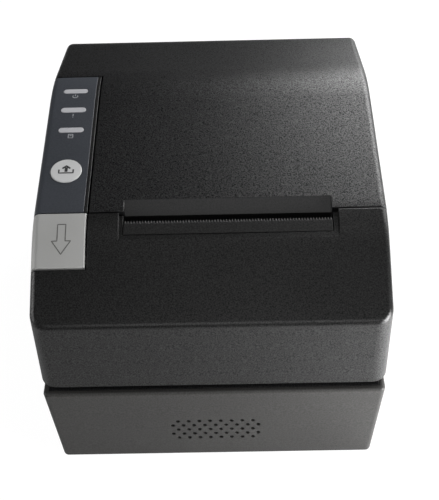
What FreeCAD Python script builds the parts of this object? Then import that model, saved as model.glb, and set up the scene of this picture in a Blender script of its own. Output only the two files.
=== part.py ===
import FreeCAD, Part
import math
import os
import re
import Sketcher

# Desktop receipt printer for 80 mm paper: hinged lid, tipping front cover, clamshell print mechanism, cutter.
# Millimetres, +Z up, front at -Y, origin at the middle of the footprint.

V = FreeCAD.Vector
doc = FreeCAD.newDocument("receipt_printer")
sheet = doc.addObject("Spreadsheet::Sheet", "Dims")

# Driving sizes, then the positions that follow from them.
SIZES = [
    ("body_width", "148"),
    ("body_depth", "194"),
    ("foot_height", "2.5"),
    ("foot_radius", "7"),
    ("base_height", "49.5"),
    ("base_draft", "2.5"),
    ("base_wall", "2.4"),
    ("base_corner", "2.4"),
    ("base_setback", "0.7"),
    ("seam_gap", "3"),
    ("cover_setback", "2"),
    ("wall", "2.4"),
    ("part_gap", "0.8"),
    ("lid_gap", "0.4"),
    ("front_height", "35.6"),
    ("front_lean", "2.4"),
    ("slope_run", "36.6"),
    ("slope_rise", "22.2"),
    ("lid_run", "88"),
    ("lid_rise", "9.6"),
    ("rear_drop", "15.1"),
    ("corner_round", "7"),
    ("bend_round", "50"),
    ("ridge_round", "70"),
    ("shoulder_round", "15"),
    ("edge_round", "3"),
    ("seam_behind_bend", "7"),
    ("column_width", "22.8"),
    ("column_length", "86.4"),
    ("panel_thickness", "2"),
    ("lip_width", "1.4"),
    ("lever_length", "21.9"),
    ("lever_gap", "0.2"),
    ("side_room", "61"),
    ("slot_shift", "7.5"),
    ("vent_radius", "0.95"),
    ("vent_pitch", "4.75"),
    ("vent_rows_apart", "3.35"),
    ("vent_middle_z", "23.3"),
    ("lens_width", "11.3"),
    ("lens_depth", "3"),
    ("lens_pitch", "12.9"),
    ("button_radius", "6.75"),
    ("button_travel", "0.8"),
    ("fit_gap", "0.3"),
    ("run_fit", "0.05"),
    ("platen_radius", "6.5"),
    ("shaft_radius", "3"),
    ("bush_radius", "5"),
    ("platen_behind_seam", "12"),
    ("platen_below_hinge", "10.8"),
    ("head_gap", "0.45"),
    ("plate_thickness", "1.5"),
    ("gear_width", "5"),
    ("gear_module", "1"),
    ("platen_teeth", "18"),
    ("idler_teeth", "24"),
    ("motor_teeth", "12"),
    ("gear_slack", "0.2"),
    ("motor_radius", "15"),
    ("motor_length", "22"),
    ("roll_room", "28.2"),
    ("well_wall", "2"),
    ("well_floor_z", "20"),
    ("blade_thickness", "1"),
    ("blade_travel", "8"),
    ("rack_module", "0.75"),
    ("pinion_teeth", "12"),
    ("cutter_behind_crease", "26.6"),
    ("knob_radius", "9"),
    ("pin_radius", "1.5"),
    ("hinge_pin_radius", "2.5"),
    ("board_thickness", "1.6"),
    ("half_width", "=body_width / 2"),
    ("slot_width", "=body_width - side_room"),
    ("platen_length", "=slot_width - 6"),
    ("well_width", "=slot_width - 4.5"),
    ("port_pitch", "=half_width * 0.3"),
    ("front_y", "=-body_depth / 2"),
    ("rear_y", "=body_depth / 2"),
    ("base_top", "=foot_height + base_height"),
    ("base_floor", "=foot_height + base_wall"),
    ("cover_bottom", "=base_top + seam_gap"),
    ("cover_front", "=front_y + cover_setback"),
    ("cover_rear", "=rear_y - cover_setback"),
    ("crease_y", "=cover_front + front_lean"),
    ("crease_z", "=cover_bottom + front_height"),
    ("slope_grade", "=slope_rise / slope_run"),
    ("bend_y", "=crease_y + slope_run"),
    ("bend_z", "=crease_z + slope_rise"),
    ("lid_grade", "=lid_rise / lid_run"),
    ("ridge_y", "=bend_y + lid_run"),
    ("ridge_z", "=bend_z + lid_rise"),
    ("lid_rear", "=cover_rear - wall - lid_gap"),
    ("rear_z", "=ridge_z - rear_drop"),
    ("rear_grade", "=rear_drop / (lid_rear - ridge_y)"),
    ("hinge_y", "=lid_rear - shoulder_round"),
    ("hinge_z", "=rear_z + shoulder_round * (rear_grade - sqrt(1 + rear_grade ^ 2))"),
    ("seam_y", "=bend_y + seam_behind_bend"),
    ("wall_top", "=hinge_z - part_gap"),
    ("column_right", "=-half_width + column_width"),
    ("column_front", "=seam_y + lid_gap"),
    ("column_rear", "=column_front + column_length"),
    ("lever_front", "=seam_y - lever_gap - lever_length"),
    ("slot_left", "=slot_shift - slot_width / 2"),
    ("slot_right", "=slot_shift + slot_width / 2"),
    ("deck_top", "=cover_bottom + wall"),
    ("deck_front", "=cover_front + 17"),
    ("neck_x", "=half_width - base_setback - base_wall - fit_gap"),
    ("cover_hinge_y", "=cover_front + 6.5"),
    ("cover_hinge_z", "=cover_bottom + 5"),
    ("lever_pin_y", "=seam_y - 3"),
    ("lever_pin_z", "=bend_z - 9.8"),
    ("platen_y", "=seam_y + platen_behind_seam"),
    ("platen_z", "=hinge_z - platen_below_hinge"),
    ("platen_reach", "=sqrt((platen_y - hinge_y) ^ 2 + (platen_z - hinge_z) ^ 2)"),
    ("plate_inner", "=platen_length / 2 + 2"),
    ("plate_left", "=slot_shift - plate_inner"),
    ("plate_right", "=slot_shift + plate_inner"),
    ("gear_x", "=plate_right + 7"),
    ("idler_reach", "=gear_module * (platen_teeth + idler_teeth) / 2 + gear_slack"),
    ("idler_y", "=platen_y - idler_reach * (platen_z - hinge_z) / platen_reach"),
    ("idler_z", "=platen_z + idler_reach * (platen_y - hinge_y) / platen_reach"),
    ("motor_reach", "=gear_module * (idler_teeth + motor_teeth) / 2 + gear_slack"),
    ("motor_y", "=idler_y - motor_reach * 0.9"),
    ("motor_z", "=idler_z - motor_reach * 0.436"),
    ("head_y", "=platen_y - platen_radius - head_gap"),
    ("head_top", "=platen_z + 4.5"),
    ("head_foot", "=platen_z - 13.5"),
    ("cutter_top", "=platen_z + 9.1"),
    ("blade_z", "=cutter_top + run_fit"),
    ("pinion_radius", "=rack_module * pinion_teeth / 2"),
    ("rack_z", "=blade_z - 1.9"),
    ("cutter_y", "=crease_y + cutter_behind_crease"),
    ("cutter_z", "=rack_z - pinion_radius - 0.15"),
    ("well_radius", "=(hinge_y - platen_y - roll_room) / 2"),
    ("well_middle_y", "=(hinge_y + platen_y) / 2 + 1.9"),
    ("well_middle_z", "=well_floor_z + well_radius"),
    ("board_z", "=base_floor + 4.6"),
    ("board_top", "=board_z + board_thickness"),
    ("panel_y", "=rear_y - 4"),
]
NAMES = [name for name, text in SIZES]
for row, (name, text) in enumerate(SIZES, 1):
    sheet.set(f"A{row}", name)
    sheet.set(f"B{row}", text)
    sheet.setAlias(f"B{row}", name)
doc.recompute()


def ref(text):
    """Put the sheet's name before every size used in an expression."""
    return re.sub(r"[a-z_]+", lambda m: "Dims." + m.group() if m.group() in NAMES else m.group(), str(text))


def val(text):
    """Number that an expression of sizes has now."""
    return float(sheet.evalExpression(ref(text)))


def bind(obj, prop, text):
    obj.setExpression(prop, ref(text))


def box(name, x, y, z):
    """Block between pairs of expressions along each axis."""
    obj = doc.addObject("Part::Box", name)
    for prop, axis, (low, high) in (("Length", "x", x), ("Width", "y", y), ("Height", "z", z)):
        bind(obj, prop, f"({high}) - ({low})")
        bind(obj, f"Placement.Base.{axis}", low)
    return obj


TURN = {
    "X": FreeCAD.Rotation(V(0, 1, 0), 90),
    "Y": FreeCAD.Rotation(V(1, 0, 0), -90),
    "Z": FreeCAD.Rotation(),
}


def rod(name, axis, centre, span, radius):
    """Cylinder along an axis: centre gives the other two coordinates, span its two ends."""
    obj = doc.addObject("Part::Cylinder", name)
    obj.Placement = FreeCAD.Placement(V(), TURN[axis])
    others = [letter for letter in "XYZ" if letter != axis]
    bind(obj, f"Placement.Base.{axis.lower()}", span[0])
    for letter, text in zip(others, centre):
        bind(obj, f"Placement.Base.{letter.lower()}", text)
    bind(obj, "Radius", radius)
    bind(obj, "Height", f"({span[1]}) - ({span[0]})")
    return obj


def new_sketch(body, plane, offset):
    sketch = body.newObject("Sketcher::SketchObject", body.Name + "_sketch")
    origin = [o for o in body.Origin.OriginFeatures if o.Role == plane + "_Plane"][0]
    sketch.AttachmentSupport = [(origin, "")]
    sketch.MapMode = "FlatFace"
    bind(sketch, "AttachmentOffset.Base.z", offset)
    return sketch


def outline(sketch, points):
    """Closed run of lines through points whose two coordinates are bound expressions."""
    count = len(points)
    spots = [V(val(p[0]), val(p[1]), 0) for p in points]
    first = sketch.GeometryCount
    for i in range(count):
        sketch.addGeometry(Part.LineSegment(spots[i], spots[(i + 1) % count]))
    for i in range(count):
        sketch.addConstraint(Sketcher.Constraint("Coincident", first + i, 2, first + (i + 1) % count, 1))
    for i in range(count):
        for kind, text, number in zip(("DistanceX", "DistanceY"), points[i], spots[i]):
            at = sketch.addConstraint(Sketcher.Constraint(kind, -1, 1, first + i, 1, number))
            bind(sketch, f"Constraints[{at}]", text)


def circles(sketch, centres, radius):
    """Circles of one bound radius at bound centres."""
    for u, v in centres:
        at = V(val(u), val(v), 0)
        geo = sketch.addGeometry(Part.Circle(at, V(0, 0, 1), val(radius)))
        for kind, text, number in (("DistanceX", u, at.x), ("DistanceY", v, at.y)):
            con = sketch.addConstraint(Sketcher.Constraint(kind, -1, 1, geo, 3, number))
            bind(sketch, f"Constraints[{con}]", text)
        con = sketch.addConstraint(Sketcher.Constraint("Radius", geo, val(radius)))
        bind(sketch, f"Constraints[{con}]", radius)


def round_edges(body, radius, wanted, kind="PartDesign::Fillet"):
    """Fillet or chamfer the edges of a body's tip that pass a test."""
    doc.recompute()
    tip = body.Tip
    names = [f"Edge{i}" for i, edge in enumerate(tip.Shape.Edges, 1) if wanted(edge)]
    if not names:
        raise RuntimeError("no edge to round on " + body.Name)
    feature = body.newObject(kind, body.Name + "_round")
    feature.Base = (tip, names)
    bind(feature, "Radius" if kind.endswith("Fillet") else "Size", radius)
    doc.recompute()
    return feature


def prism(name, plane, points, low, high, rounds=()):
    """Body padded from an outline; rounds lists (point number, radius) of upright edges."""
    body = doc.addObject("PartDesign::Body", name)
    sketch = new_sketch(body, plane, f"-({high})" if plane == "XZ" else low)
    outline(sketch, points)
    pad = body.newObject("PartDesign::Pad", name + "_pad")
    pad.Profile = sketch
    bind(pad, "Length", f"({high}) - ({low})")
    for radius in dict.fromkeys(r for i, r in rounds):
        spots = [(val(points[i][0]), val(points[i][1])) for i, r in rounds if r == radius]
        pick = {"YZ": lambda p: (p.y, p.z), "XZ": lambda p: (p.x, p.z), "XY": lambda p: (p.x, p.y)}[plane]

        def at_spot(edge):
            return len(edge.Vertexes) == 2 and any(
                all(
                    math.dist(pick(vertex.Point), spot) < 1e-4 for vertex in edge.Vertexes
                ) for spot in spots
            )

        round_edges(body, radius, at_spot)
    return body


def fuse(name, *shapes):
    obj = doc.addObject("Part::MultiFuse", name)
    obj.Shapes = list(shapes)
    obj.Refine = True
    return obj


def cut(name, base, *tools):
    obj = doc.addObject("Part::Cut", name)
    obj.Base = base
    obj.Tool = tools[0] if len(tools) == 1 else fuse(name + "_tools", *tools)
    obj.Refine = True
    return obj


def common(name, first, second):
    obj = doc.addObject("Part::Common", name)
    obj.Base = first
    obj.Tool = second
    obj.Refine = True
    return obj


PIECES = []


def piece(label, obj):
    """Name a finished sub-part and keep it for export."""
    obj.Label = label
    PIECES.append(obj)
    return obj


def tooth_ring(module, teeth):
    """Closed outline of an involute gear: each flank is an arc through its root, pitch and tip points."""
    pitch = module * teeth / 2
    root = pitch - 1.25 * module
    tip = pitch + module
    pressure = math.radians(20)
    rolling = pitch * math.cos(pressure)

    def half_angle(radius):
        lean = math.acos(rolling / max(radius, rolling))
        return math.pi / (2 * teeth) + math.tan(pressure) - pressure - math.tan(lean) + lean

    def spot(radius, angle):
        return V(radius * math.cos(angle), radius * math.sin(angle), 0)

    edges = []
    for number in range(teeth):
        middle = 2 * math.pi * number / teeth
        rise = [spot(radius, middle - half_angle(radius)) for radius in (root, pitch, tip)]
        fall = [spot(radius, middle + half_angle(radius)) for radius in (tip, pitch, root)]
        after = spot(root, middle + 2 * math.pi / teeth - half_angle(root))
        edges.append(Part.Arc(*rise).toShape())
        edges.append(Part.LineSegment(rise[2], fall[0]).toShape())
        edges.append(Part.Arc(*fall).toShape())
        edges.append(Part.LineSegment(fall[2], after).toShape())
    return Part.Wire(edges)


def gear(name, module, teeth, width, bore, at, phase):
    """Involute spur gear on an axis along X; phase turns its first tooth from straight down."""
    shape = Part.Face(tooth_ring(module, int(teeth))).extrude(V(0, 0, width))
    if bore:
        shape = shape.cut(Part.makeCylinder(bore, width))
    obj = doc.addObject("Part::Feature", name)
    obj.Shape = shape
    obj.Placement = FreeCAD.Placement(at, TURN["X"] * FreeCAD.Rotation(V(0, 0, 1), phase))
    return obj


# Master form of the upper casing: the side profile padded across, with its soft bends and edges.
def casing_form(name, inset, rounded):
    side = f"half_width - {inset}"
    body = prism(
        name,
        "YZ",
        [
            (f"cover_front + {inset}", f"cover_bottom - {inset}" if not rounded else "cover_bottom"),
            (f"crease_y + {inset}", f"crease_z - {inset} * 0.6"),
            (f"bend_y + {inset} * 0.3", f"bend_z - {inset}"),
            ("ridge_y", f"ridge_z - {inset}"),
            (f"lid_rear - {inset}", f"rear_z - {inset} * 0.7"),
            (f"lid_rear - {inset}", f"cover_bottom - {inset}" if not rounded else "cover_bottom"),
        ],
        f"-({side})",
        side,
        [(2, "bend_round"), (3, "ridge_round"), (4, f"shoulder_round - {inset}")],
    )
    reach = val(side)
    knee = val(f"crease_z - {inset} * 0.6")

    def front_corner(edge):
        ends = [vertex.Point for vertex in edge.Vertexes]
        upright = all(abs(abs(p.x) - reach) < 1e-4 and p.y < val("crease_y") + 8 for p in ends)
        return upright and abs(ends[0].z - ends[1].z) > 5 and min(p.z for p in ends) < knee - 5

    round_edges(body, f"corner_round - {inset}", front_corner)
    if rounded:
        shelf = val("bend_z") - 1

        def side_edge(edge):
            spot = edge.CenterOfMass
            return abs(abs(spot.x) - reach) < 1e-4 and spot.z > shelf and spot.y > val("bend_y") + 12

        round_edges(body, "edge_round", side_edge)
    return body


outer = casing_form("outer_form", "0", True)
inner = casing_form("inner_form", "wall", False)


# Base tub: drafted walls and floor, moulded in one.
def tub(name, inset, low):
    """Block whose four walls lean outwards by the draft, from a given height up to the base's top."""
    obj = doc.addObject("Part::Wedge", name)
    bind(obj, "Ymin", "0")
    bind(obj, "Ymax", f"base_top - {low}")
    for axis, half in (("X", "half_width - base_setback"), ("Z", "rear_y")):
        foot = f"({half} - {inset} - base_draft * (base_top - {low}) / base_height)"
        top = f"({half} - {inset})"
        bind(obj, axis + "min", f"-{foot}")
        bind(obj, axis + "max", foot)
        bind(obj, axis + "2min", f"-{top}")
        bind(obj, axis + "2max", top)
    obj.Placement = FreeCAD.Placement(V(), FreeCAD.Rotation(V(1, 0, 0), 90))
    bind(obj, "Placement.Base.z", low)
    return obj


def soften(name, base, radius, wanted):
    """Round the edges of any shape that pass a test."""
    doc.recompute()
    obj = doc.addObject("Part::Fillet", name)
    obj.Base = base
    size = val(radius)
    obj.Edges = [(i, size, size) for i, edge in enumerate(base.Shape.Edges, 1) if wanted(edge)]
    doc.recompute()
    return obj


def at_level(edge, height):
    return all(abs(vertex.Point.z - val(height)) < 1e-4 for vertex in edge.Vertexes)


def upright(edge):
    return not at_level(edge, "base_top") and not at_level(edge, "foot_height")


def level(edge):
    return at_level(edge, "base_top") or at_level(edge, "foot_height")


base_block = tub("base_block", "0", "foot_height")
base_sides = soften("base_sides", base_block, "base_corner", upright)
base_solid = soften("base_solid", base_sides, "base_corner / 2", level)
base_hollow = tub("base_hollow", "base_wall", "base_floor")

# Sound holes: five staggered rows through the front wall.
vents = doc.addObject("PartDesign::Body", "vent_holes")
vent_sketch = new_sketch(vents, "XZ", "-(front_y + 8)")
spots = []
for row in range(5):
    holes = 8 + row % 2
    for hole in range(holes):
        spots.append(
            (f"vent_pitch * {hole - (holes - 1) / 2}", f"vent_middle_z + vent_rows_apart * {2 - row}"),
        )
circles(vent_sketch, spots, "vent_radius")
vent_pad = vents.newObject("PartDesign::Pad", "vent_pad")
vent_pad.Profile = vent_sketch
vent_pad.Length = 10

# Rear socket panel: an upright, recessed part of the rear wall with one opening per socket.
panel_block = box(
    "panel_block",
    ("-half_width + 14", "half_width - 14"),
    ("panel_y - 2.5", "panel_y + 0.5"),
    ("base_floor - 0.5", "42"),
)
panel_recess = box(
    "panel_recess",
    ("-half_width + 16", "half_width - 16"),
    ("panel_y", "rear_y + 1"),
    ("base_floor + 2", "40"),
)
SOCKETS = {
    "lan_socket": ("-2 * port_pitch", 16, 13.5, 17),
    "usb_socket": ("-port_pitch", 12, 11, 16),
    "drawer_socket": ("0", 13.5, 13, 16),
    "power_inlet": ("port_pitch", 14, 14, 16),
}
port_holes = []
for name, (x, width, height, depth) in SOCKETS.items():
    port_holes.append(
        box(
            name + "_hole",
            (f"{x} - {width / 2 + 0.2}", f"{x} + {width / 2 + 0.2}"),
            ("panel_y - 3", "panel_y + 1"),
            ("board_top - 0.2", f"board_top + {height} + 0.2"),
        )
    )
SWITCH_X = "2 * port_pitch"
switch_z = "board_top + 11.5"
port_holes.append(
    box(
        "switch_hole",
        (f"{SWITCH_X} - 7", f"{SWITCH_X} + 7"),
        ("panel_y - 3", "panel_y + 1"),
        (f"{switch_z} - 10", f"{switch_z} + 10"),
    )
)

# Board posts and case-screw columns standing on the floor.
posts = []
for side in ("-", ""):
    for y in ("rear_y - 89", "rear_y - 17"):
        at = (f"{side}(half_width - 24)", y)
        posts.append(rod("board_post", "Z", at, ("base_floor - 0.5", "board_z"), "3"))
columns = []
screw_bores = []
for side in ("-", ""):
    for y in ("front_y + 25", "rear_y - 15"):
        at = (f"{side}(half_width - 10.5)", y)
        columns.append(rod("screw_column", "Z", at, ("base_floor - 0.5", "cover_bottom"), "3.6"))
        screw_bores.append(rod("screw_bore", "Z", at, ("foot_height - 1", "base_floor + 16"), "pin_radius"))
        screw_bores.append(rod("screw_seat", "Z", at, ("foot_height - 1", "base_floor + 2.3"), "3.1"))
foot_spots = []
for side in ("-", ""):
    for y in ("front_y + 16", "rear_y - 26"):
        foot_spots.append((f"{side}(half_width - 17)", y))
foot_seats = [
    rod("foot_seat", "Z", at, ("foot_height - 1", "foot_height + 0.6"), "foot_radius + 0.1")
    for at in foot_spots
]
base_shell = cut("base_shell", base_solid, base_hollow)
base_full = fuse("base_full", base_shell, panel_block, *posts, *columns)
base = cut("base", base_full, vents, panel_recess, *port_holes, *screw_bores, *foot_seats)
piece("base_housing", base)

# Rubber feet pressed into shallow seats.
PLACES = ["front_left", "rear_left", "front_right", "rear_right"]
for place, at in zip(PLACES, foot_spots):
    foot = doc.addObject("Part::Cone", "foot_" + place)
    bind(foot, "Radius1", "foot_radius - 0.8")
    bind(foot, "Radius2", "foot_radius")
    bind(foot, "Height", "foot_height + 0.6")
    bind(foot, "Placement.Base.x", at[0])
    bind(foot, "Placement.Base.y", at[1])
    piece("foot_" + place, foot)

# Case screws: pan heads in their counterbores.
for number, place in enumerate(PLACES):
    at = (
        f"{'-' if number < 2 else ''}(half_width - 10.5)",
        "front_y + 25" if number % 2 == 0 else "rear_y - 15",
    )
    head = rod("screw_head", "Z", at, ("base_floor + 0.3", "base_floor + 2.3"), "2.8")
    shank = rod("screw_shank", "Z", at, ("base_floor + 2.2", "base_floor + 15"), "pin_radius - 0.1")
    slot = box(
        "screw_slot",
        (f"{at[0]} - 2", f"{at[0]} + 2"),
        (f"{at[1]} - 0.4", f"{at[1]} + 0.4"),
        ("base_floor", "base_floor + 1.2"),
    )
    piece("case_screw_" + place, cut("case_screw_cut", fuse("case_screw_solid", head, shank), slot))

# Upper housing: U-shaped outer wall, deck, neck inside the base rim, hinge lugs and the panel column.
u_wall = prism(
    "u_wall",
    "XY",
    [
        ("-half_width", "lever_front - 0.2"),
        ("-half_width + wall", "lever_front - 0.2"),
        ("-half_width + wall", "cover_rear - wall"),
        ("half_width - wall", "cover_rear - wall"),
        ("half_width - wall", "column_front"),
        ("half_width", "column_front"),
        ("half_width", "cover_rear"),
        ("-half_width", "cover_rear"),
    ],
    "cover_bottom",
    "wall_top",
    [(6, "4"), (7, "4")],
)
ear_room = []
for side, low, high in (
    ("left", "-half_width - 1", "-half_width + wall + 0.1"),
    ("right", "half_width - wall - 0.1", "half_width + 1"),
):
    ear_room.append(
        rod("ear_room_" + side, "X", ("hinge_y", "hinge_z"), (low, high), "shoulder_round + lid_gap"),
    )
neck_depth = "(rear_y - base_wall - fit_gap)"
neck_outer = box(
    "neck_outer",
    ("-neck_x", "neck_x"),
    (f"-{neck_depth}", neck_depth),
    ("base_top - 5", "deck_top"),
)
neck_inner = box(
    "neck_inner",
    ("-neck_x + 2", "neck_x - 2"),
    (f"-{neck_depth} + 2", f"{neck_depth} - 2"),
    ("base_top - 6", "deck_top + 1"),
)
neck_dip = box(
    "neck_dip",
    ("-half_width", "half_width"),
    ("front_y", "deck_front"),
    ("base_top", "deck_top + 1"),
)
neck = cut("neck", neck_outer, neck_inner, neck_dip)
deck_fore = box(
    "deck_fore",
    ("-neck_x + 0.6", "neck_x - 0.6"),
    ("deck_front", "column_front + 2"),
    ("cover_bottom", "deck_top"),
)
deck_rear = box(
    "deck_rear",
    ("-half_width + 1", "half_width - 1"),
    ("column_front + 1", "cover_rear - 1"),
    ("cover_bottom", "deck_top"),
)
deck_apron = box(
    "deck_apron",
    ("-neck_x + 0.6", "neck_x - 0.6"),
    ("deck_front", "deck_front + 1.6"),
    ("base_top - 5", "deck_top"),
)
deck_left = box(
    "deck_left",
    ("-half_width + 1", "-neck_x + 1"),
    ("lever_front + 1", "column_front + 2"),
    ("cover_bottom", "deck_top"),
)
deck_hole = box(
    "deck_hole",
    ("plate_left - plate_thickness - 0.3", "plate_right + plate_thickness + 0.3"),
    ("deck_front + 2", "well_middle_y + well_radius + well_wall + 1"),
    ("cover_bottom - 9", "deck_top + 1"),
)
gear_hole = box(
    "gear_hole",
    ("plate_right", "gear_x + gear_width + 2"),
    ("motor_y - 9", "idler_y + 15"),
    ("cover_bottom - 1", "deck_top + 1"),
)
lugs = []
lug_bores = []
arms = []
arm_bores = []
for side in (-1, 1):
    lug_span = ("half_width - 6.5", "half_width - wall - 0.7") if side > 0 else (
        "-half_width + wall + 0.7",
        "-half_width + 6.5",
    )
    lugs.append(box("lug_web", lug_span, ("hinge_y - 9", "hinge_y + 0.5"), ("deck_top - 1", "hinge_z")))
    lugs.append(rod("lug_eye", "X", ("hinge_y", "hinge_z"), lug_span, "7"))
    lug_bores.append(rod("lug_bore", "X", ("hinge_y", "hinge_z"), lug_span, "hinge_pin_radius"))
    arm_span = ("half_width - 12", "half_width - 9") if side > 0 else (
        "-half_width + 9",
        "-half_width + 12",
    )
    arms.append(
        box(
            "arm_web",
            arm_span,
            ("cover_hinge_y", "deck_front + 4"),
            ("cover_hinge_z - 3", "cover_hinge_z + 3"),
        ),
    )
    arms.append(
        box(
            "arm_root",
            arm_span,
            ("deck_front + 0.5", "deck_front + 12"),
            ("cover_bottom + 1", "cover_hinge_z + 3"),
        ),
    )
    arms.append(rod("arm_eye", "X", ("cover_hinge_y", "cover_hinge_z"), arm_span, "3"))
    arm_bores.append(rod("arm_bore", "X", ("cover_hinge_y", "cover_hinge_z"), arm_span, "pin_radius"))

column_room = box(
    "column_room",
    ("-half_width - 1", "column_right"),
    ("column_front", "column_rear"),
    ("wall_top", "ridge_z + 5"),
)
column_block = common("column_block", outer, column_room)
column_well = box(
    "column_well",
    ("-half_width + wall", "column_right - 2"),
    ("column_front + 2", "column_rear - 2"),
    ("wall_top - 1", "ridge_z + 5"),
)


def panel_slab(name, depth, right):
    """Region above a face lying a given depth under the lid's top, over the panel's length."""
    return prism(
        name,
        "YZ",
        [
            ("column_front - 1", f"bend_z + (column_front - 1 - bend_y) * lid_grade - {depth}"),
            ("ridge_y - 6", f"bend_z + (ridge_y - 6 - bend_y) * lid_grade - {depth} - 0.5"),
            ("column_rear + 1", f"ridge_z - {depth} - 2.2"),
            ("column_rear + 1", "ridge_z + 6"),
            ("column_front - 1", "ridge_z + 6"),
        ],
        "-half_width - 1",
        right,
    )


slab = panel_slab("panel_slab", "panel_thickness", "column_right - lip_width")
bulkhead = box(
    "bulkhead",
    ("column_right - 2", "column_right"),
    ("column_front + 18", "column_rear"),
    ("deck_top - 1", "wall_top + 1"),
)
lever_cheek = box(
    "lever_cheek",
    ("column_right - 2", "column_right"),
    ("lever_pin_y - 4", "column_front + 1"),
    ("wall_top", "lever_pin_z + 4"),
)
lever_prop = box(
    "lever_prop",
    ("-half_width + wall - 0.5", "-half_width + wall + 2"),
    ("lever_pin_y - 4", "lever_pin_y + 4"),
    ("wall_top - 8", "lever_pin_z + 4"),
)
lever_pin_span = ("-half_width + wall", "column_right")
lever_bore = rod("lever_bore", "X", ("lever_pin_y", "lever_pin_z"), lever_pin_span, "pin_radius")
housing_solid = fuse(
    "housing_solid",
    u_wall,
    neck,
    deck_fore,
    deck_rear,
    deck_apron,
    deck_left,
    *lugs,
    *arms,
    column_block,
)
housing_open = cut(
    "housing_open",
    housing_solid,
    deck_hole,
    gear_hole,
    column_well,
    slab,
    *ear_room,
    *lug_bores,
    *arm_bores,
)
housing_ribs = fuse("housing_ribs", housing_open, bulkhead, lever_cheek, lever_prop)
piece("upper_housing", cut("housing", housing_ribs, lever_bore))

# Steel hinge pins of the lid and of the front cover, and the lever's pin.
for place, sign in (("left", "-"), ("right", "")):
    ends = ["half_width - 18", "half_width - wall - 0.7"]
    far = ["half_width - 12", "half_width - wall - 0.6"]
    if sign:
        ends = [f"-({text})" for text in reversed(ends)]
        far = [f"-({text})" for text in reversed(far)]
    piece("lid_pin_" + place, rod("lid_pin", "X", ("hinge_y", "hinge_z"), ends, "hinge_pin_radius"))
    piece(
        "cover_pin_" + place,
        rod("cover_pin", "X", ("cover_hinge_y", "cover_hinge_z"), far, "pin_radius"),
    )
piece("lever_pin", rod("lever_pin_rod", "X", ("lever_pin_y", "lever_pin_z"), lever_pin_span, "pin_radius"))

# Front cover: shell from the front face up the slope to the seam, with the slot's stepped frame.
cover_room = box(
    "cover_room",
    ("-half_width - 1", "half_width + 1"),
    ("cover_front - 1", "seam_y - lid_gap"),
    ("cover_bottom - 1", "ridge_z + 5"),
)
cover_block = common("cover_block", outer, cover_room)
lever_room = box(
    "lever_room",
    ("-half_width - 1", "column_right + 0.6"),
    ("lever_front - 0.9", "seam_y + 1"),
    ("cover_bottom - 1", "ridge_z + 5"),
)
wing_relief = box(
    "wing_relief",
    ("-half_width - 1", "-half_width + wall + 2"),
    ("lever_front - 1.4", "seam_y"),
    ("cover_bottom - 1", "cover_bottom + 12"),
)
slot_hole = box(
    "slot_hole",
    ("slot_left - 0.2", "slot_right + 0.2"),
    ("seam_y - 10", "seam_y + 1"),
    ("bend_z - 10", "ridge_z"),
)
rim_step = prism(
    "rim_step",
    "YZ",
    [
        ("seam_y - 12.5", "bend_z - 3.6"),
        ("seam_y + 1", "bend_z - 0.9"),
        ("seam_y + 1", "bend_z + 6"),
        ("seam_y - 12.5", "bend_z + 6"),
    ],
    "slot_left - 2",
    "slot_right + 2.5",
)
cover_ears = []
ear_bores = []
for sign in ("-", ""):
    span = ["half_width - 8.4", "half_width - 1"]
    hole = ["half_width - 8.5", "half_width - wall - 0.4"]
    if sign:
        span = [f"-({text})" for text in reversed(span)]
        hole = [f"-({text})" for text in reversed(hole)]
    cover_ears.append(
        common(
            "cover_ear_trim",
            rod("cover_ear", "X", ("cover_hinge_y", "cover_hinge_z"), span, "3.4"),
            outer,
        ),
    )
    ear_bores.append(
        rod("cover_ear_bore", "X", ("cover_hinge_y", "cover_hinge_z"), hole, "pin_radius + run_fit"),
    )
cover_shell = cut("cover_shell", cover_block, inner)
cover_full = fuse("cover_full", cover_shell, *cover_ears)
piece("front_cover", cut("cover", cover_full, lever_room, wing_relief, slot_hole, rim_step, *ear_bores))

# Lid: L-shaped shell round the panel column, with round hinge ears and a bevelled exit edge.
lid_room = box(
    "lid_room",
    ("-half_width - 1", "half_width + 1"),
    ("seam_y + lid_gap", "lid_rear + 5"),
    ("hinge_z", "ridge_z + 5"),
)
lid_notch = box(
    "lid_notch",
    ("-half_width - 2", "column_right + part_gap"),
    ("seam_y - 1", "column_rear + part_gap"),
    ("hinge_z - 1", "ridge_z + 6"),
)
lid_inside = box(
    "lid_inside",
    ("-half_width", "half_width"),
    ("seam_y + lid_gap + wall", "lid_rear"),
    ("hinge_z - 20", "ridge_z + 5"),
)
notch_wall = box(
    "notch_wall",
    ("-half_width - 2", "column_right + part_gap + 2"),
    ("seam_y - 1", "column_rear + part_gap + 2"),
    ("hinge_z - 21", "ridge_z + 6"),
)
lid_block = cut("lid_block", common("lid_cap", outer, lid_room), lid_notch)
lid_core = cut("lid_core", common("lid_core_cap", inner, lid_inside), notch_wall)
lid_thin = cut("lid_thin", lid_block, lid_core)
exit_room = box(
    "exit_room",
    ("slot_left - 2", "slot_right + 2"),
    ("seam_y + 1.9", "seam_y + 9"),
    ("bend_z - 7.8", "ridge_z"),
)
exit_bar = common("exit_bar", outer, exit_room)
ears = []
for low, high in (("-half_width", "-half_width + wall"), ("half_width - wall", "half_width")):
    disc = rod("lid_ear", "X", ("hinge_y", "hinge_z"), (low, high), "shoulder_round")
    ears.append(common("lid_ear_trim", disc, outer))
bevel = prism(
    "exit_bevel",
    "YZ",
    [
        ("seam_y + 6.7", "bend_z + 1.5"),
        ("seam_y + 1.9", "bend_z - 3.6"),
        ("seam_y + 1.9", "bend_z - 18"),
        ("seam_y - 2", "bend_z - 18"),
        ("seam_y - 2", "bend_z + 6"),
        ("seam_y + 6.7", "bend_z + 6"),
    ],
    "slot_left",
    "slot_right",
)
piece("lid_shell", cut("lid", fuse("lid_full", lid_thin, exit_bar, *ears), bevel))


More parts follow.
